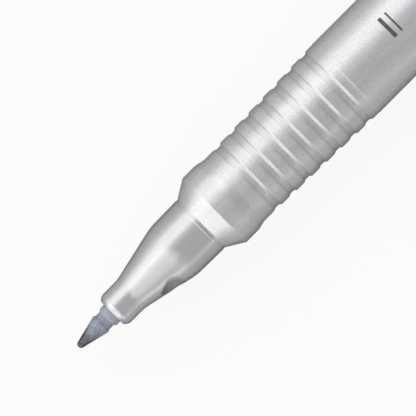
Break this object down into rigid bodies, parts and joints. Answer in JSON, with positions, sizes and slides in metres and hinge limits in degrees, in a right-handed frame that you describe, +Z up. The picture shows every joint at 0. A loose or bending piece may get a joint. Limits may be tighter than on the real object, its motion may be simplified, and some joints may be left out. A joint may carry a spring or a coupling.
{
  "type": "permanent marker",
  "caption": "Fine-point permanent marker with a fibre nib, stepped nose, ribbed grip and plain tube, its vented clip cap posted on the back end.",
  "frame": {"origin": "on the pen's axis, in the middle of the plain tube of the barrel", "axes": "X along the pen's axis with the nib towards -X and the posted cap towards +X, +Z up from the table that the pen lies on, +Y away from the clip"},
  "size_m": [0.152, 0.0117, 0.0096],
  "materials": {
    "nib_fibre": "bonded fibre, blue-grey, inked dark at the point",
    "nose_plastic": "glossy silver moulded polypropylene",
    "barrel_plastic": "satin silver moulded polypropylene with metallic pigment",
    "ink_fibre": "ink-soaked polyester fibre rod",
    "film": "thin wrapping film",
    "plug_plastic": "black moulded polypropylene",
    "cap_plastic": "black moulded polypropylene",
    "seal_plastic": "natural polyethylene"
  },
  "bodies": {
    "pen": {"nib": "nib_fibre", "nose_section": "nose_plastic", "barrel": "barrel_plastic", "ink_reservoir": "ink_fibre", "reservoir_film": "film", "end_plug": "plug_plastic"},
    "cap_assembly": {"cap": "cap_plastic", "inner_cap": "seal_plastic"}
  },
  "joints": [
    {"name": "cap_pull", "type": "slide", "parent": "pen", "child": "cap_assembly", "axis": [1, 0, 0], "range_m": [0, 0.03]}
  ]
}
